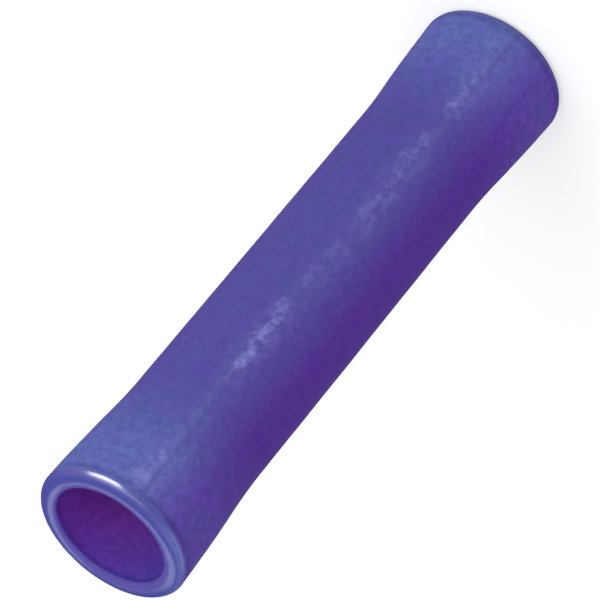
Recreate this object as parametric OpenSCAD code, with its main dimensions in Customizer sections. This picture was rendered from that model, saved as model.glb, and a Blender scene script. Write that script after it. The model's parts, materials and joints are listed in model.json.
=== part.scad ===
// Insulated butt splice connector, which joins two wires end to end.
// A vinyl sleeve with flared mouths grips a tinned copper crimp barrel. The wires enter
// from both ends and butt against the bead that is rolled into the middle of the barrel.
// The axis is Z, the origin is the middle of the bead, and all sizes are in millimetres.

/* [Crimp barrel] */
// Length of the barrel, end to end
barrel_length = 15; // [9:0.5:24]
// Diameter of the bore that takes the stripped conductor
bore_d = 2.3; // [1.8:0.1:4]
// Thickness of the barrel wall
barrel_wall = 0.65; // [0.5:0.05:1.2]
// Chamfer at the inner edge of each barrel end, which leads the strands in
entry_chamfer = 0.25; // [0.05:0.05:0.3]
// Chamfer at the outer edge of each barrel end
edge_chamfer = 0.12; // [0.02:0.02:0.16]

/* [Wire stop] */
// How far the rolled bead stands into the bore
stop_height = 0.4; // [0.2:0.05:0.6]
// Radius of the groove that the rolling leaves outside the barrel
groove_radius = 0.8; // [0.7:0.05:1.5]

/* [Insulating sleeve] */
// Thickness of the sleeve wall
sleeve_wall = 0.74; // [0.4:0.01:1.2]
// Gap between the barrel and the sleeve that grips it, on the radius
grip_clearance = 0.01; // [0:0.005:0.05]
// Length of each flared mouth, past the end of the barrel
flare_length = 5; // [2:0.25:9]
// How far before the end of the barrel the flare starts
flare_lead = 0.6; // [0:0.1:2]
// How far the sleeve widens from the waist to the mouth, on the radius
flare_widening = 0.265; // [0.1:0.005:0.8]
// Length over which the flare bends outward, before it eases towards the mouth
bend_length = 1.9; // [0.5:0.1:4]
// Slope that the flare still has at the mouth, in degrees from the axis
mouth_slope = 1.4; // [0:0.1:2]
// Rounding of the outer edge of each mouth
outer_lip_radius = 0.3; // [0.05:0.01:0.4]
// Rounding of the inner edge of each mouth
inner_lip_radius = 0.15; // [0.05:0.01:0.4]

/* [Hidden] */

// Fineness of the solids of revolution
$fn = 128;
// Straight steps that stand for one rounded edge
round_steps = 8;
// Straight steps that stand for each of the two bends of a flare
bend_steps = 4;
// Most of the sleeve wall that one lip rounding may take up
lip_share = 0.45;
// Most of the flare that its outward bend may take up
bend_share = 0.8;

vinyl_violet_blue = [0.33, 0.30, 0.61];
bright_tin = [0.80, 0.80, 0.81];

// Barrel radii, and the height of its upper end
bore_r = bore_d / 2;
barrel_r = bore_r + barrel_wall;
barrel_end = barrel_length / 2;

// The bead and the groove share a centre outside the barrel, so the wall keeps its thickness there
bead_centre = [barrel_r + groove_radius - stop_height, 0];
bead_radius = groove_radius + barrel_wall;
groove_half_angle = acos((groove_radius - stop_height) / groove_radius);
bead_half_angle = acos((bead_radius - stop_height) / bead_radius);

// Sleeve radii at the waist, and the heights of the upper mouth and of the start of its flare
sleeve_bore_r = barrel_r + grip_clearance;
waist_r = sleeve_bore_r + sleeve_wall;
sleeve_end = barrel_end + flare_length;
flare_start = barrel_end - flare_lead;

// Lengths of the two bends of a flare: outward up to the turn, then back towards the mouth
flare_run = sleeve_end - flare_start;
out_run = min(bend_length, bend_share * flare_run);
back_run = flare_run - out_run;
turn_z = flare_start + out_run;

// Slopes of the flare at the turn, where it is steepest, and at the mouth
end_slope = tan(mouth_slope);
turn_slope = (2 * flare_widening - end_slope * back_run) / flare_run;

// Lip roundings, kept inside the wall
outer_lip_r = min(outer_lip_radius, lip_share * sleeve_wall);
inner_lip_r = min(inner_lip_radius, lip_share * sleeve_wall);

// Points [radius, height] along an arc from angle a to angle b
function arc(centre, r, a, b, steps) =
  [for (i = [0:steps]) let (t = a + (b - a) * i / steps) centre + r * [cos(t), sin(t)]];

// The same points in reverse order
function reversed(points) = [for (i = [len(points) - 1:-1:0]) points[i]];

// The same points at the other end of the part, in reverse order
function mirrored(points) = [for (p = reversed(points)) [p[0], -p[1]]];

// How far the flare has widened at height z: its slope grows evenly up to the turn,
// then changes evenly to the slope at the mouth
function widened(z) =
  let (
    out = min(z, turn_z) - flare_start,
    back = max(z, turn_z) - turn_z
  )
  turn_slope * out * out / (2 * out_run)
    + turn_slope * back
    + (end_slope - turn_slope) * back * back / (2 * back_run);

// Heights along a flare, from its start to one step short of the top of its wall
function flare_heights(top) =
  concat(
    [for (i = [0:bend_steps]) flare_start + out_run * i / bend_steps],
    [for (i = [1:bend_steps - 1]) turn_z + (top - turn_z) * i / bend_steps]
  );

// One wall of the sleeve, from the waist with radius r to the flat face of the upper mouth.
// The side is 1 for the outside of the sleeve and -1 for the inside
function wall(r, lip_r, side) =
  let (
    top = sleeve_end - lip_r * (1 + side * sin(mouth_slope)),
    to_lip_centre = -side * lip_r * [cos(mouth_slope), -sin(mouth_slope)],
    lip_start_angle = 90 - side * 90 - mouth_slope
  )
  concat(
    [for (z = flare_heights(top)) [r + widened(z), z]],
    arc([r + widened(top), top] + to_lip_centre, lip_r, lip_start_angle, 90, round_steps)
  );

module insulating_sleeve() {
  outside = wall(waist_r, outer_lip_r, 1);
  inside = wall(sleeve_bore_r, inner_lip_r, -1);
  upper_half = concat(outside, reversed(inside));
  color(vinyl_violet_blue)
    rotate_extrude()
      polygon(concat(upper_half, mirrored(upper_half)));
}

module crimp_barrel() {
  groove = arc(bead_centre, groove_radius, 180 + groove_half_angle, 180 - groove_half_angle, round_steps);
  bead = arc(bead_centre, bead_radius, 180 - bead_half_angle, 180 + bead_half_angle, round_steps);
  upper_end = [
    [barrel_r, barrel_end - edge_chamfer],
    [barrel_r - edge_chamfer, barrel_end],
    [bore_r + entry_chamfer, barrel_end],
    [bore_r, barrel_end - entry_chamfer]
  ];
  color(bright_tin)
    rotate_extrude()
      polygon(concat(groove, upper_end, bead, mirrored(upper_end)));
}

insulating_sleeve();
crimp_barrel();
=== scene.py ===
"""Looks of an insulated butt splice: a violet blue vinyl sleeve around a tinned copper barrel.

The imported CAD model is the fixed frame. Both of its solids are redrawn as fine lathed meshes of the
same form, with the small unevenness of moulded vinyl and of drawn tube, and get procedural materials.
Azimuths are measured about Z, from the side that faces the camera (-Y) towards +X.
"""

import json
import math

import bpy
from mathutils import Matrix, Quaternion, Vector, noise


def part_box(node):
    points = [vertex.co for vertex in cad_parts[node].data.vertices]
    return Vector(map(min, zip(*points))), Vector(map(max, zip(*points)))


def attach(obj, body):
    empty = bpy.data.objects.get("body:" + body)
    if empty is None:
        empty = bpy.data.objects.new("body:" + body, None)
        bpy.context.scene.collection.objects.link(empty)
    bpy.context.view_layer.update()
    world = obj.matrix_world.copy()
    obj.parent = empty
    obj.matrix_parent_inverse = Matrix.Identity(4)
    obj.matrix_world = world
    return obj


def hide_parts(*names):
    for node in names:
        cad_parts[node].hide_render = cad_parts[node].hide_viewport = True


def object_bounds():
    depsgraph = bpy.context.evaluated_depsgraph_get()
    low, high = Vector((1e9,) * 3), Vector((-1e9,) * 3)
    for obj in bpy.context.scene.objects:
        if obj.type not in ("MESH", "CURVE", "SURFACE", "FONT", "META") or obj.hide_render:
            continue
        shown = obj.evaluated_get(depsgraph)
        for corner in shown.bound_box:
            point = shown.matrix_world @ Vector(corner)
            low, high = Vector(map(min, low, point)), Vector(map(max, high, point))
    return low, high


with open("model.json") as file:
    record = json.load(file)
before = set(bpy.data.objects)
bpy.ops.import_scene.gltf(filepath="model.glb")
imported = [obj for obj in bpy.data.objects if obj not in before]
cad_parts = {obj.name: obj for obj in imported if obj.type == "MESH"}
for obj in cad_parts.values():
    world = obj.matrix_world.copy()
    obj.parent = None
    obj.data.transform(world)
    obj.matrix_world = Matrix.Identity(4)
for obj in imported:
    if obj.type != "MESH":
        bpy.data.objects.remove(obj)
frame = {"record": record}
cad_low, cad_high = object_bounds()

MM = 0.001
MICRON = 0.000001

# Sizes taken from the frame
SLEEVE_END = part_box("insulating_sleeve")[1].z
BARREL_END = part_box("crimp_barrel")[1].z
BARREL_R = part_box("crimp_barrel")[1].x
BORE_R = MM * next(m["dims"]["r_mm"] for m in frame["record"]["mounts"] if m["kind"] == "bore")

# Sizes of the sleeve and the barrel, as in the CAD model
SLEEVE_WALL = 0.74 * MM
GRIP_CLEARANCE = 0.01 * MM
FLARE_LEAD = 0.6 * MM
FLARE_WIDENING = 0.265 * MM
BEND_LENGTH = 1.9 * MM
MOUTH_SLOPE = math.radians(1.4)
OUTER_LIP_RADIUS = 0.3 * MM
INNER_LIP_RADIUS = 0.15 * MM
ENTRY_CHAMFER = 0.25 * MM
EDGE_CHAMFER = 0.12 * MM
STOP_HEIGHT = 0.4 * MM
GROOVE_RADIUS = 0.8 * MM

# Sizes that follow from them
SLEEVE_BORE_R = BARREL_R + GRIP_CLEARANCE
WAIST_R = SLEEVE_BORE_R + SLEEVE_WALL
FLARE_START = BARREL_END - FLARE_LEAD
TURN_Z = FLARE_START + BEND_LENGTH
BACK_RUN = SLEEVE_END - TURN_Z
END_SLOPE = math.tan(MOUTH_SLOPE)
TURN_SLOPE = (2 * FLARE_WIDENING - END_SLOPE * BACK_RUN) / (SLEEVE_END - FLARE_START)

# Fineness of the sleeve's mesh: steps along its outside, inside its flares and along its hidden seat
OUTSIDE_STEP = 0.09 * MM
INSIDE_STEP = 0.13 * MM
SEAT_STEP = 0.7 * MM
SLEEVE_SEGMENTS = 200
LIP_STEPS = 14

# Fineness of the barrel's mesh: steps along its straight runs, and along its groove and its bead
BARREL_STEP = 0.15 * MM
BARREL_SEGMENTS = 128
GROOVE_STEPS = 12
BEAD_STEPS = 16

# The flat rims of the CAD model are slightly domed here: their slope where they meet the lips,
# and how far the lips lie below the top of the dome
RIM_SLOPE = math.radians(15)
RIM_RISE = 0.019 * MM
RIM_STEPS = 10

# Unevenness of the surfaces: height, wavelength and seed of the bumps
PEEL = (3 * MICRON, 0.5 * MM, 3)
DIMPLES = (8 * MICRON, 1.6 * MM, 11)
SWAY = (14 * MICRON, 6 * MM, 23)
RIM_RIPPLES = (5 * MICRON, 0.45 * MM, 37)
TUBE_DENTS = (3 * MICRON, 0.9 * MM, 31)

# Heights over which the ripples of the rims set in
RIPPLE_START = SLEEVE_END - 0.4 * MM
RIPPLE_FADE = 0.3 * MM

# Camera, fitted to the outline in a square picture
CAMERA_TILT = math.radians(34.065)
CAMERA_ROLL = math.radians(219.437)
CAMERA_DISTANCE = 143.86 * MM
CAMERA_SHIFT_RIGHT = -0.364 * MM
CAMERA_SHIFT_UP = -0.266 * MM
CAMERA_CLIP_START = 10 * MM
SENSOR_WIDTH = 36
FOCAL_LENGTH = 7.0273 * SENSOR_WIDTH

# Light besides the white surroundings: azimuth, elevation, width, height, radiance and colour of each lamp
WORLD_STRENGTH = 0.85
LAMP_DISTANCE = 150 * MM
LAMPS = {
    "key": (math.radians(12), math.radians(45), 120 * MM, 60 * MM, 2.5, (0.95, 1, 1)),
    "fill": (math.radians(58), math.radians(50), 90 * MM, 60 * MM, 3.5, (0.95, 1, 1)),
    "glint": (math.radians(52), math.radians(14), 115 * MM, 110 * MM, 22, (0.94, 0.98, 1)),
    "side": (math.radians(-84), math.radians(9), 190 * MM, 60 * MM, 25, (0.6, 0.78, 1)),
    "back": (math.radians(-171), math.radians(38.5), 50 * MM, 45 * MM, 36, (0.76, 0.9, 1)),
}

# Lamps that show in the gloss alone
GLOSS_LAMPS = ("glint", "side", "back")

# Floor, just below the uneven lower end of the sleeve, and its glow for rays that see the background
FLOOR_Z = cad_low.z - 0.01 * MM
FLOOR_SIZE = 4
FLOOR_COLOUR = (0.5, 0.5, 0.5)
FLOOR_ROUGHNESS = 0.9
FLOOR_GLOW = 0.5

# White, which changes nothing as a tint
WHITE = (1, 1, 1)

# The materials are drawn in millimetres: heights of the start of the flares and of the mouths,
# and radii of the inner wall there
FLARE_MM = FLARE_START / MM
MOUTH_MM = SLEEVE_END / MM
FLARE_BORE_MM = SLEEVE_BORE_R / MM
MOUTH_BORE_MM = (SLEEVE_BORE_R + FLARE_WIDENING) / MM

# Noises: bumps in a millimetre along X, Y and Z, levels of detail, seed and roughness
TONE_NOISE = ((1.3, 1.3, 1.3), 2, 5, 0.5)
SPECKLE_NOISE = ((3.6, 3.6, 3.6), 4, 61, 0.75)
PATCH_NOISE = ((3.8, 3.8, 3), 4, 29, 0.62)
WANDER_NOISE = ((0.9, 0.9, 1.3), 2, 83, 0.5)
GRAIN_NOISE = ((5, 5, 5), 4, 17, 0.5)
TIN_NOISE = ((1.4, 1.4, 1.4), 4, 41, 0.5)
TIN_GRAIN_NOISE = ((12, 12, 12), 3, 47, 0.5)

# Middle of a noise, and ranges of it that are spread out: most of its values, the middle ones and
# the upper ones
NOISE_MIDDLE = 0.5
MOST = (0.3, 0.7)
MIDDLE = (0.35, 0.65)
UPPER = (0.4, 0.68)

# Vinyl, with painted light and shade: purple on its shaded side and bluer on its lit side, and the heights
# over which the tone of the flares sets in
SHADED_SIDE_WAIST = (0.09, 0.034, 0.305)
LIT_SIDE_WAIST = (0.09, 0.076, 0.332)
SHADED_SIDE_FLARE = (0.103, 0.056, 0.355)
LIT_SIDE_FLARE = (0.107, 0.114, 0.398)
FLARE_HEIGHTS = (FLARE_MM + 0.3, FLARE_MM + 3.7)

# Azimuth of the middle of the painted lit side at the waist and at the flares, and the turns from there
# at which the painted light ends and at which it is full. Turns are in radians here and below
LIT_SIDE_AZIMUTH = math.radians(32)
FLARE_LIT_SIDE_AZIMUTH = math.radians(41)
LIT_SIDE_TURNS = (math.radians(70.7), math.radians(25.8))

# Tints of the two flares towards their mouths, and the heights over which they set in
UPPER_FLARE_TINT = (1.03, 1.14, 1.04)
UPPER_FLARE_HEIGHTS = (FLARE_MM + 0.7, FLARE_MM + 4.1)
LOWER_FLARE_TINT = (1.08, 1.18, 1.07)
LOWER_FLARE_HEIGHTS = (-FLARE_MM - 2.1, -FLARE_MM - 4.1)

# Mottling: tints of the broad patches and of the fine speckles, and strength of the speckles
BLUER_TINT = (0.96, 1.06, 0.98)
PURPLER_TINT = (1.04, 0.94, 1.02)
DARK_SPECKLE = (0.87, 0.87, 0.9)
LIGHT_SPECKLE = (1.13, 1.13, 1.1)
WAIST_SPECKLING = 2.8
FLARE_SPECKLING = 5

# Pale lines along the vinyl, in patches. The two near the front are a painted highlight, and the two behind
# are wear.
# For each: azimuth, how pale the line is everywhere, and its paler stretches, given by their middle height
# and half length in millimetres and by how pale they are
PALE_WEAR_AND_HIGHLIGHT_LINES = (
    (
        math.radians(6.8),
        0.2,
        ((11.1, 1.1, 0.85), (4.4, 2.4, 0.92), (0.6, 1.6, 0.3), (-4.4, 3.2, 0.5), (-9, 1.8, 0.6)),
    ),
    (math.radians(-2.4), 0.05, ((10.6, 1, 0.2), (-2.5, 4, 0.2), (-9, 2, 0.15))),
    (math.radians(131), 0.08, ((6, 3, 0.4), (-5, 4, 0.3))),
    (math.radians(-116), 0.08, ((-7, 3, 0.35), (2, 3, 0.25))),
)
# Pale colour of these lines, both the painted highlight and the wear
WEAR_AND_HIGHLIGHT_PALE = (0.26, 0.255, 0.62)

# Shares of a stretch's half length at which it starts to fade and at which it ends
STRETCH_FADE = 0.5
STRETCH_END = 1.1

# Across each pale line, both the painted highlight and the wear: turns at which its haze and its core end and
# are full, how far the core wanders, share of the haze in the paleness, and the least strength of the flecks
HAZE_TURNS = (0.26, 0)
CORE_TURNS = (0.1, 0.025)
WANDER_TURN = 0.08
HAZE_SHARE = 0.33
LEAST_FLECK = 0.08

# The two parting seams that the mould has left: azimuths, turns at which they end and are full,
# heights over which they grow stronger, strength at the waist, and tint
SEAM_AZIMUTHS = (math.radians(2), math.radians(182))
SEAM_TURNS = (0.045, 0.01)
SEAM_HEIGHTS = (MOUTH_MM - 4, MOUTH_MM - 1.5)
WAIST_SEAM = 0.2
SEAM_TINT = (0.62, 0.62, 0.7)

# The painted shade line below the lips: height, distances at which it starts to fade and at which it ends,
# and tint
LIP_SHADE_HEIGHT = MOUTH_MM - 0.45
LIP_SHADE_FADE = (0.03, 0.17)
LIP_SHADE_TINT = (0.78, 0.78, 0.8)

# Inside of the mouths, painted purple for the light that has come through the wall: colours near the mouth
# and deep inside, tints of the speckles, the painted shade line below the inner lip, and tints of painted
# light and shade on the two sides
MOUTH_PURPLE = (0.1, 0.03, 0.25)
DEEP_PURPLE = (0.164, 0.028, 0.245)
DEEP_HEIGHTS = (MOUTH_MM - 0.6, MOUTH_MM - 2.9)
DARK_INNER_SPECKLE = (0.88, 0.88, 0.9)
LIGHT_INNER_SPECKLE = (1.12, 1.12, 1.1)
INNER_SHADE_LINE_HEIGHTS = (MOUTH_MM - 0.42, MOUTH_MM - 0.1)
INNER_SHADE_LINE_TINT = (0.42, 0.68, 0.72)
INNER_SIDES = (-1.8, 1.8)
INNER_LIT_AND_SHADED_TINTS = ((0.92, 1.7, 1.45), (1.55, 1.1, 1.45))

# Rims and outer lips: colours, among them a painted highlight on the outer lips, the heights over which they
# set in, and how much higher the inner edge of the rims lies on each of the two sides
INNER_RIM = (0.092, 0.07, 0.304)
OUTER_RIM = (0.059, 0.06, 0.278)
LIP_HIGHLIGHT_COLOUR = (0.108, 0.117, 0.385)
RIM_HEIGHTS = (MOUTH_MM - 0.15, MOUTH_MM - 0.08)
LIP_HEIGHTS = (MOUTH_MM - 0.34, MOUTH_MM - 0.24)
RIM_LEAN = (-0.025, 0.05)

# Distances outward from the inner wall over which the outside, its gloss, the outer part of the rims
# and the outer lips, their painted highlight and their polish set in
OUTSIDE_DEPTHS = (0.04, 0.2)
GLOSS_DEPTHS = (0.05, 0.2)
OUTER_RIM_DEPTHS = (0.12, 0.4)
OUTER_LIP_DEPTHS = (0.3, 0.5)
LIP_HIGHLIGHT_DEPTHS = (0.52, 0.62)
POLISH_DEPTHS = (0.52, 0.64)

# Stretches of the outer lips that have a painted highlight, that are polished and that are dull: azimuth of
# the middle, and the turns from there at which the stretch ends and at which it is full
LIP_HIGHLIGHT_STRETCH = (math.radians(-64), 0.95, 0.5)
POLISHED_STRETCH = (math.radians(28), 0.9, 0.35)
DULL_STRETCH = (math.radians(-138), 0.9, 0.5)

# Gloss of the vinyl: its weight away from the polished stretch, the share left on the dull side,
# its roughness, the roughness of the vinyl below it, and the depth of the grain
PLAIN_GLOSS = 0.06
DULL_SHARE = 0.3
GLOSS_ROUGHNESS = 0.23
VINYL_ROUGHNESS = (0.45, 0.6)
GRAIN_DEPTH = 0.004 * MM

# Tin plating
DULL_TIN = (0.55, 0.54, 0.52)
BRIGHT_TIN = (0.7, 0.69, 0.66)
TIN_ROUGHNESS = (0.22, 0.4)
TIN_GRAIN_DEPTH = 0.003 * MM


def direction(azimuth, elevation):
    """Unit vector towards a point of the sky."""
    level = math.cos(elevation)
    return Vector((math.sin(azimuth) * level, -math.cos(azimuth) * level, math.sin(elevation)))


# Profiles of the lathed pieces, as points (radius, height)
def arc(centre, radius, start, end, steps):
    """Points along an arc from angle start to angle end, in radians."""
    points = []
    for i in range(steps + 1):
        angle = start + (end - start) * i / steps
        points.append((centre[0] + radius * math.cos(angle), centre[1] + radius * math.sin(angle)))
    return points


def mirrored(points):
    """The same points at the other end of the part, in reverse order."""
    return [(radius, -height) for radius, height in reversed(points)]


def widened(height):
    """How far the flare has widened at a height: it bends outward up to the turn, then eases to the mouth."""
    out = max(min(height, TURN_Z) - FLARE_START, 0)
    back = max(height, TURN_Z) - TURN_Z
    easing = (END_SLOPE - TURN_SLOPE) * back ** 2 / (2 * BACK_RUN)
    return TURN_SLOPE * out ** 2 / (2 * BEND_LENGTH) + TURN_SLOPE * back + easing


def stepped(low, high, step):
    """Heights from low to just short of high, in even steps of about the given length."""
    count = round((high - low) / step)
    return [low + (high - low) * i / count for i in range(count)]


def sleeve_wall(radius, lip_r, side, waist_step, flare_step):
    """One wall of the sleeve, from its middle to the rim of the upper mouth.

    The side is 1 for the outside of the sleeve and -1 for the inside.
    """
    top = SLEEVE_END - RIM_RISE - lip_r * (1 + side * math.sin(MOUTH_SLOPE))
    heights = stepped(0, FLARE_START, waist_step) + stepped(FLARE_START, top, flare_step)
    points = [(radius + widened(height), height) for height in heights]
    lip_inset = side * lip_r * math.cos(MOUTH_SLOPE)
    lip_centre = (radius + widened(top) - lip_inset, top + side * lip_r * math.sin(MOUTH_SLOPE))
    lip_start = math.pi / 2 - side * math.pi / 2 - MOUTH_SLOPE
    lip_end = math.pi / 2 - side * RIM_SLOPE
    return points + arc(lip_centre, lip_r, lip_start, lip_end, LIP_STEPS)


def rim_dome(start, end):
    """Points of a shallow dome between two points, without these."""
    across = end[0] - start[0]
    up = end[1] - start[1]
    points = []
    for i in range(1, RIM_STEPS):
        share = i / RIM_STEPS
        lift = math.hypot(across, up) * math.tan(RIM_SLOPE) * share * (1 - share)
        points.append((start[0] + across * share, start[1] + up * share + lift))
    return points


def sleeve_profile():
    outside = sleeve_wall(WAIST_R, OUTER_LIP_RADIUS, 1, OUTSIDE_STEP, OUTSIDE_STEP)
    inside = sleeve_wall(SLEEVE_BORE_R, INNER_LIP_RADIUS, -1, SEAT_STEP, INSIDE_STEP)
    upper = outside + rim_dome(outside[-1], inside[-1]) + inside[::-1]
    return upper + mirrored(upper)[1:-1]


def barrel_profile():
    bead_centre = (BARREL_R + GROOVE_RADIUS - STOP_HEIGHT, 0)
    bead_radius = GROOVE_RADIUS + BARREL_R - BORE_R
    groove_half = math.acos(1 - STOP_HEIGHT / GROOVE_RADIUS)
    bead_half = math.acos(1 - STOP_HEIGHT / bead_radius)
    upper_end = [
        (BARREL_R, BARREL_END - EDGE_CHAMFER),
        (BARREL_R - EDGE_CHAMFER, BARREL_END),
        (BORE_R + ENTRY_CHAMFER, BARREL_END),
        (BORE_R, BARREL_END - ENTRY_CHAMFER),
    ]
    groove = arc(bead_centre, GROOVE_RADIUS, math.pi + groove_half, math.pi - groove_half, GROOVE_STEPS)
    bead = arc(bead_centre, bead_radius, math.pi - bead_half, math.pi + bead_half, BEAD_STEPS)
    return finely_stepped(groove + upper_end + bead + mirrored(upper_end), BARREL_STEP)


def finely_stepped(profile, step):
    """The closed profile with its long straight runs divided into steps of about the given length."""
    points = []
    for (r0, z0), (r1, z1) in zip(profile, profile[1:] + profile[:1]):
        count = max(1, round(math.hypot(r1 - r0, z1 - z0) / step))
        for i in range(count):
            points.append((r0 + (r1 - r0) * i / count, z0 + (z1 - z0) * i / count))
    return points


def outward_normals(profile):
    """Unit normals (radial, axial) of a closed profile that runs up its outside."""
    normals = []
    count = len(profile)
    for i in range(count):
        before = profile[i - 1]
        after = profile[(i + 1) % count]
        along = (after[0] - before[0], after[1] - before[1])
        length = math.hypot(*along)
        normals.append((along[1] / length, -along[0] / length))
    return normals


# Meshes
def lathe(name, profile, segments, unevenness):
    """A closed mesh of revolution about Z, each point moved along its normal by unevenness(point)."""
    verts = []
    for (radius, height), (out_r, out_z) in zip(profile, outward_normals(profile)):
        for j in range(segments):
            angle = 2 * math.pi * j / segments
            outward = Vector((math.cos(angle), math.sin(angle), 0))
            point = outward * radius + Vector((0, 0, height))
            normal = outward * out_r + Vector((0, 0, out_z))
            verts.append(point + normal * unevenness(point))
    faces = []
    rings = len(profile)
    for i in range(rings):
        this_ring = i * segments
        next_ring = (i + 1) % rings * segments
        for j in range(segments):
            k = (j + 1) % segments
            faces.append((this_ring + j, this_ring + k, next_ring + k, next_ring + j))
    mesh = bpy.data.meshes.new(name)
    mesh.from_pydata(verts, [], faces)
    mesh.shade_smooth()
    piece = bpy.data.objects.new(name, mesh)
    bpy.context.scene.collection.objects.link(piece)
    return piece


def bumps(point, height, wavelength, seed):
    """Smooth noise up to about the given height, whose bumps are one wavelength apart."""
    return height * noise.noise(point / wavelength + Vector((seed, seed, seed)))


def vinyl_unevenness(point):
    at_rim = min(max((abs(point.z) - RIPPLE_START) / RIPPLE_FADE, 0), 1)
    everywhere = bumps(point, *PEEL) + bumps(point, *DIMPLES) + bumps(point, *SWAY)
    return everywhere + at_rim * bumps(point, *RIM_RIPPLES)


def tube_unevenness(point):
    return bumps(point, *TUBE_DENTS)


# Nodes of the materials, and the numbers of a mix node's sockets that hold colours
FIRST_COLOUR = 6
SECOND_COLOUR = 7
MIXED_COLOUR = 2


class Sheet:
    """The nodes of a material or a world, with short calls for the kinds that are used here."""

    def __init__(self, tree):
        self.nodes = tree.nodes
        self.links = tree.links

    def feed(self, socket, value):
        """Link the value to the socket if it is a socket too, or else set it as the socket's own."""
        if isinstance(value, bpy.types.NodeSocket):
            self.links.new(value, socket)
        elif isinstance(value, tuple):
            socket.default_value = (*value, 1)
        else:
            socket.default_value = value

    def maths(self, operation, first, second=0):
        node = self.nodes.new("ShaderNodeMath")
        node.operation = operation
        self.feed(node.inputs[0], first)
        self.feed(node.inputs[1], second)
        return node.outputs["Value"]

    def total(self, first, second):
        return self.maths("ADD", first, second)

    def difference(self, first, second):
        return self.maths("SUBTRACT", first, second)

    def distance(self, first, second):
        return self.maths("ABSOLUTE", self.difference(first, second))

    def product(self, first, second):
        return self.maths("MULTIPLY", first, second)

    def larger(self, first, second):
        return self.maths("MAXIMUM", first, second)

    def spread(self, value, low, high, to_low, to_high):
        """The value mapped from one range to another, held at its ends."""
        node = self.nodes.new("ShaderNodeMapRange")
        node.inputs["From Min"].default_value = low
        node.inputs["From Max"].default_value = high
        node.inputs["To Min"].default_value = to_low
        node.inputs["To Max"].default_value = to_high
        self.links.new(value, node.inputs["Value"])
        return node.outputs["Result"]

    def rise(self, value, start, end):
        """From 0 where the value is at the start of a range to 1 where it is at the end, and held there."""
        return self.spread(value, start, end, 0, 1)

    def within(self, angle, reach, core, inside=1, outside=0):
        """The inside value for angles within the core, and the outside value for angles beyond the reach."""
        cosine = self.maths("COSINE", angle)
        return self.spread(cosine, math.cos(reach), math.cos(core), outside, inside)

    def mixed(self, factor, first, second):
        """A colour between two colours."""
        node = self.nodes.new("ShaderNodeMix")
        node.data_type = "RGBA"
        self.feed(node.inputs["Factor"], factor)
        self.feed(node.inputs[FIRST_COLOUR], first)
        self.feed(node.inputs[SECOND_COLOUR], second)
        return node.outputs[MIXED_COLOUR]

    def tinted(self, factor, colour, first, second):
        """The colour multiplied by a tint between two tints."""
        node = self.nodes.new("ShaderNodeMix")
        node.data_type = "RGBA"
        node.blend_type = "MULTIPLY"
        node.inputs["Factor"].default_value = 1
        self.feed(node.inputs[FIRST_COLOUR], colour)
        self.feed(node.inputs[SECOND_COLOUR], self.mixed(factor, first, second))
        return node.outputs[MIXED_COLOUR]

    def millimetres(self):
        """Object coordinates in millimetres."""
        coordinates = self.nodes.new("ShaderNodeTexCoord")
        node = self.nodes.new("ShaderNodeVectorMath")
        node.operation = "SCALE"
        node.inputs["Scale"].default_value = 1 / MM
        self.links.new(coordinates.outputs["Object"], node.inputs[0])
        return node.outputs["Vector"]

    def noise(self, place, per_mm, detail, seed, roughness):
        """Noise with the given number of bumps in a millimetre along X, Y and Z."""
        stretched = self.nodes.new("ShaderNodeVectorMath")
        stretched.operation = "MULTIPLY_ADD"
        stretched.inputs[1].default_value = per_mm
        stretched.inputs[2].default_value = (seed, seed, seed)
        self.links.new(place, stretched.inputs[0])
        texture = self.nodes.new("ShaderNodeTexNoise")
        texture.inputs["Scale"].default_value = 1
        texture.inputs["Detail"].default_value = detail
        texture.inputs["Roughness"].default_value = roughness
        self.links.new(stretched.outputs["Vector"], texture.inputs["Vector"])
        return texture.outputs["Fac"]

    def bump(self, shader, height, depth):
        node = self.nodes.new("ShaderNodeBump")
        node.inputs["Distance"].default_value = depth
        self.links.new(height, node.inputs["Height"])
        self.links.new(node.outputs["Normal"], shader.inputs["Normal"])


class VinylSheet(Sheet):
    """The nodes of the vinyl, with the places on the sleeve that its patterns follow, in millimetres."""

    def __init__(self, tree):
        super().__init__(tree)
        self.place = self.millimetres()
        parts = self.nodes.new("ShaderNodeSeparateXYZ")
        self.links.new(self.place, parts.inputs["Vector"])
        self.x, y, self.z = (parts.outputs[axis] for axis in "XYZ")
        self.from_middle = self.maths("ABSOLUTE", self.z)
        self.azimuth = self.maths("ARCTAN2", self.x, self.product(y, -1))
        radius = self.maths("SQRT", self.total(self.maths("POWER", self.x, 2), self.maths("POWER", y, 2)))
        inner_wall = self.spread(self.from_middle, FLARE_MM, MOUTH_MM, FLARE_BORE_MM, MOUTH_BORE_MM)
        self.depth = self.difference(radius, inner_wall)
        self.at_flare = self.rise(self.from_middle, *FLARE_HEIGHTS)
        lean = self.spread(self.x, *INNER_SIDES, *RIM_LEAN)
        self.at_rim = self.rise(self.difference(self.from_middle, lean), *RIM_HEIGHTS)
        self.at_lip = self.rise(self.from_middle, *LIP_HEIGHTS)

    def around(self, middle, reach, core, inside=1, outside=0):
        """The inside value about an azimuth, and the outside value away from it."""
        return self.within(self.difference(self.azimuth, middle), reach, core, inside, outside)


def new_material(name, kind=Sheet):
    material = bpy.data.materials.new(name)
    material.use_nodes = True
    sheet = kind(material.node_tree)
    return material, sheet, sheet.nodes["Principled BSDF"]


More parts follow.
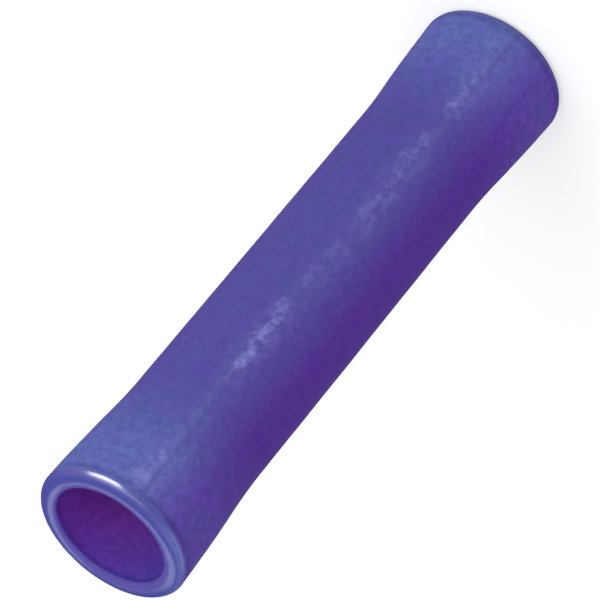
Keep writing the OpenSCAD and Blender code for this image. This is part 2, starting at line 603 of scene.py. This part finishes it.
# Layers of the vinyl
def vinyl_lit_and_shaded(sheet):
    """Painted light and shade: bluer on the lit side and purple on the shaded side. Lighter where no dark
    barrel lies behind the translucent wall.
    """
    lit_azimuth = sheet.spread(sheet.at_flare, 0, 1, LIT_SIDE_AZIMUTH, FLARE_LIT_SIDE_AZIMUTH)
    # Painted light: bluer towards the lit side, purple on the shaded side
    lit_side = sheet.around(lit_azimuth, *LIT_SIDE_TURNS)
    waist = sheet.mixed(lit_side, SHADED_SIDE_WAIST, LIT_SIDE_WAIST)
    flare = sheet.mixed(lit_side, SHADED_SIDE_FLARE, LIT_SIDE_FLARE)
    colour = sheet.mixed(sheet.at_flare, waist, flare)
    colour = sheet.tinted(sheet.rise(sheet.z, *UPPER_FLARE_HEIGHTS), colour, WHITE, UPPER_FLARE_TINT)
    return sheet.tinted(sheet.rise(sheet.z, *LOWER_FLARE_HEIGHTS), colour, WHITE, LOWER_FLARE_TINT)


def speckles(sheet):
    """Fine noise about its middle, which is stronger on the flares."""
    strength = sheet.spread(sheet.at_flare, 0, 1, WAIST_SPECKLING, FLARE_SPECKLING)
    swing = sheet.difference(sheet.noise(sheet.place, *SPECKLE_NOISE), NOISE_MIDDLE)
    return sheet.total(sheet.product(swing, strength), NOISE_MIDDLE)


def mottled(sheet, colour, speckle):
    """Broad patches of a bluer or a more purple tone, and the speckles."""
    tone = sheet.rise(sheet.noise(sheet.place, *TONE_NOISE), *MIDDLE)
    colour = sheet.tinted(tone, colour, BLUER_TINT, PURPLER_TINT)
    return sheet.tinted(speckle, colour, DARK_SPECKLE, LIGHT_SPECKLE)


def wear_and_highlight_lines(sheet, colour, patches):
    """Pale lines in patches, a painted highlight near the front and wear behind: pale flecks along a
    wandering core, in a fainter haze.
    """
    wander = sheet.spread(sheet.noise(sheet.place, *WANDER_NOISE), *MOST, -WANDER_TURN, WANDER_TURN)
    for line_azimuth, along, stretches in PALE_WEAR_AND_HIGHLIGHT_LINES:
        from_line = sheet.difference(sheet.azimuth, line_azimuth)
        haze = sheet.within(from_line, *HAZE_TURNS, HAZE_SHARE)
        core = sheet.within(sheet.total(from_line, wander), *CORE_TURNS, 1 - HAZE_SHARE)
        for middle, half_length, paleness in stretches:
            fade = STRETCH_FADE * half_length
            end = STRETCH_END * half_length
            stretch = sheet.spread(sheet.distance(sheet.z, middle), fade, end, paleness, 0)
            along = sheet.larger(stretch, along)
        paleness_here = sheet.product(sheet.total(haze, core), sheet.product(along, patches))
        colour = sheet.mixed(paleness_here, colour, WEAR_AND_HIGHLIGHT_PALE)
    return colour


def seamed(sheet, colour, patches):
    """Thin seams that are a little darker, mostly at the mouths."""
    strength = sheet.product(sheet.spread(sheet.from_middle, *SEAM_HEIGHTS, WAIST_SEAM, 1), patches)
    for seam_azimuth in SEAM_AZIMUTHS:
        seam = sheet.product(sheet.around(seam_azimuth, *SEAM_TURNS), strength)
        colour = sheet.tinted(seam, colour, WHITE, SEAM_TINT)
    return colour


def shaded_below_lips(sheet, colour):
    """A faint painted shade line that runs around below the lips."""
    from_lip_shade = sheet.distance(sheet.from_middle, LIP_SHADE_HEIGHT)
    return sheet.tinted(sheet.rise(from_lip_shade, *LIP_SHADE_FADE), colour, LIP_SHADE_TINT, WHITE)


def purple_inside(sheet, colour, speckle):
    """Purple painted inside the mouths for the light that has come through the wall, with a painted shade
    line below the inner lip and painted light and shade on the two sides.
    """
    purple = sheet.mixed(sheet.rise(sheet.from_middle, *DEEP_HEIGHTS), MOUTH_PURPLE, DEEP_PURPLE)
    purple = sheet.tinted(speckle, purple, DARK_INNER_SPECKLE, LIGHT_INNER_SPECKLE)
    # Painted shade line below the inner lip
    purple = sheet.tinted(sheet.rise(sheet.from_middle, *INNER_SHADE_LINE_HEIGHTS), purple, WHITE, INNER_SHADE_LINE_TINT)
    # Painted light and shade on the two sides of the inside
    purple = sheet.tinted(sheet.rise(sheet.x, *INNER_SIDES), purple, *INNER_LIT_AND_SHADED_TINTS)
    outside = sheet.rise(sheet.depth, *OUTSIDE_DEPTHS)
    inside = sheet.product(sheet.difference(1, outside), sheet.difference(1, sheet.at_rim))
    return sheet.mixed(inside, colour, purple)


def rimmed(sheet, colour):
    """Rims that are bluer towards the outside, and outer lips with a painted highlight on one side."""
    ring = sheet.mixed(sheet.rise(sheet.depth, *OUTER_RIM_DEPTHS), INNER_RIM, OUTER_RIM)
    # Painted highlight on one stretch of the outer lips
    lip_highlight = sheet.product(sheet.around(*LIP_HIGHLIGHT_STRETCH), sheet.rise(sheet.depth, *LIP_HIGHLIGHT_DEPTHS))
    ring = sheet.mixed(lip_highlight, ring, LIP_HIGHLIGHT_COLOUR)
    outer_lip = sheet.product(sheet.at_lip, sheet.rise(sheet.depth, *OUTER_LIP_DEPTHS))
    return sheet.mixed(sheet.larger(sheet.at_rim, outer_lip), colour, ring)


def vinyl_gloss(sheet):
    """Weight of the gloss: none inside the mouths, weak outside, and full on the polished stretch."""
    outer_lip = sheet.product(sheet.at_lip, sheet.rise(sheet.depth, *POLISH_DEPTHS))
    polish = sheet.product(sheet.around(*POLISHED_STRETCH), outer_lip)
    gloss = sheet.spread(polish, 0, 1, PLAIN_GLOSS, 1)
    gloss = sheet.product(gloss, sheet.rise(sheet.depth, *GLOSS_DEPTHS))
    return sheet.product(gloss, sheet.around(*DULL_STRETCH, DULL_SHARE, 1))


# Materials
def vinyl_material():
    material, sheet, shader = new_material("violet_blue_vinyl", VinylSheet)
    speckle = speckles(sheet)
    patches = sheet.spread(sheet.noise(sheet.place, *PATCH_NOISE), *UPPER, LEAST_FLECK, 1)
    colour = vinyl_lit_and_shaded(sheet)
    colour = mottled(sheet, colour, speckle)
    colour = wear_and_highlight_lines(sheet, colour, patches)
    colour = seamed(sheet, colour, patches)
    colour = shaded_below_lips(sheet, colour)
    colour = purple_inside(sheet, colour, speckle)
    colour = rimmed(sheet, colour)
    grain = sheet.noise(sheet.place, *GRAIN_NOISE)
    sheet.feed(shader.inputs["Base Color"], colour)
    sheet.feed(shader.inputs["Roughness"], sheet.spread(grain, *MOST, *VINYL_ROUGHNESS))
    sheet.feed(shader.inputs["Coat Weight"], vinyl_gloss(sheet))
    shader.inputs["Coat Roughness"].default_value = GLOSS_ROUGHNESS
    shader.inputs["Specular IOR Level"].default_value = 0
    sheet.bump(shader, grain, GRAIN_DEPTH)
    return material


def tin_material():
    material, sheet, shader = new_material("tinned_copper")
    place = sheet.millimetres()
    patches = sheet.noise(place, *TIN_NOISE)
    tone = sheet.mixed(sheet.rise(patches, *MOST), DULL_TIN, BRIGHT_TIN)
    sheet.feed(shader.inputs["Base Color"], tone)
    sheet.feed(shader.inputs["Roughness"], sheet.spread(patches, *MOST, *TIN_ROUGHNESS))
    shader.inputs["Metallic"].default_value = 1
    sheet.bump(shader, sheet.noise(place, *TIN_GRAIN_NOISE), TIN_GRAIN_DEPTH)
    return material


# The two pieces
sleeve = lathe("sleeve", sleeve_profile(), SLEEVE_SEGMENTS, vinyl_unevenness)
sleeve.data.materials.append(vinyl_material())
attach(sleeve, "root")
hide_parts("insulating_sleeve")

barrel = lathe("barrel", barrel_profile(), BARREL_SEGMENTS, tube_unevenness)
barrel.data.materials.append(tin_material())
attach(barrel, "root")
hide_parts("crimp_barrel")


# Stage: a white floor and white surroundings
def seen_as_background(sheet):
    """1 for rays that see the background as a picture: camera, glossy and transmitted ones."""
    light_path = sheet.nodes.new("ShaderNodeLightPath")
    seen = light_path.outputs["Is Camera Ray"]
    for name in ("Is Glossy Ray", "Is Transmission Ray"):
        seen = sheet.larger(seen, light_path.outputs[name])
    return seen


def floor_material():
    material, sheet, shader = new_material("white_floor")
    sheet.feed(shader.inputs["Base Color"], FLOOR_COLOUR)
    sheet.feed(shader.inputs["Emission Color"], WHITE)
    glow = sheet.spread(seen_as_background(sheet), 0, 1, 0, FLOOR_GLOW)
    sheet.feed(shader.inputs["Emission Strength"], glow)
    shader.inputs["Roughness"].default_value = FLOOR_ROUGHNESS
    shader.inputs["Specular IOR Level"].default_value = 0
    return material


def make_floor():
    mesh = bpy.data.meshes.new("floor")
    half = FLOOR_SIZE / 2
    corners = [(-half, -half, FLOOR_Z), (half, -half, FLOOR_Z), (half, half, FLOOR_Z), (-half, half, FLOOR_Z)]
    mesh.from_pydata(corners, [], [(0, 1, 2, 3)])
    mesh.materials.append(floor_material())
    floor = bpy.data.objects.new("floor", mesh)
    bpy.context.scene.collection.objects.link(floor)


def make_world():
    world = bpy.data.worlds.new("surroundings")
    world.use_nodes = True
    sheet = Sheet(world.node_tree)
    background = sheet.nodes["Background"]
    sheet.feed(background.inputs["Color"], WHITE)
    strength = sheet.spread(seen_as_background(sheet), 0, 1, WORLD_STRENGTH, 1)
    sheet.feed(background.inputs["Strength"], strength)
    bpy.context.scene.world = world


def add_lamp(name, azimuth, elevation, width, height, radiance, colour):
    """A softbox that faces the middle of the part."""
    lamp = bpy.data.lights.new(name, "AREA")
    lamp.shape = "RECTANGLE"
    lamp.size = width
    lamp.size_y = height
    lamp.energy = radiance * math.pi * width * height
    lamp.color = colour
    place = LAMP_DISTANCE * direction(azimuth, elevation)
    lamp_object = bpy.data.objects.new(name, lamp)
    lamp_object.location = place
    lamp_object.rotation_mode = "QUATERNION"
    lamp_object.rotation_quaternion = (-place).to_track_quat("-Z", "Y")
    lamp_object.visible_diffuse = name not in GLOSS_LAMPS
    bpy.context.scene.collection.objects.link(lamp_object)


make_floor()
make_world()
for lamp_name, settings in LAMPS.items():
    add_lamp(lamp_name, *settings)


# Camera
def make_camera():
    back = direction(0, CAMERA_TILT)
    level = (-back).to_track_quat("-Z", "Y")
    turned = level @ Quaternion((0, 0, 1), CAMERA_ROLL)
    data = bpy.data.cameras.new("camera")
    data.sensor_width = SENSOR_WIDTH
    data.lens = FOCAL_LENGTH
    data.clip_start = CAMERA_CLIP_START
    camera = bpy.data.objects.new("camera", data)
    camera.rotation_mode = "QUATERNION"
    camera.rotation_quaternion = turned
    side_step = turned @ Vector((CAMERA_SHIFT_RIGHT, CAMERA_SHIFT_UP, 0))
    camera.location = back * CAMERA_DISTANCE + side_step
    bpy.context.scene.collection.objects.link(camera)
    bpy.context.scene.camera = camera


make_camera()
bpy.context.scene.view_settings.view_transform = "Standard"
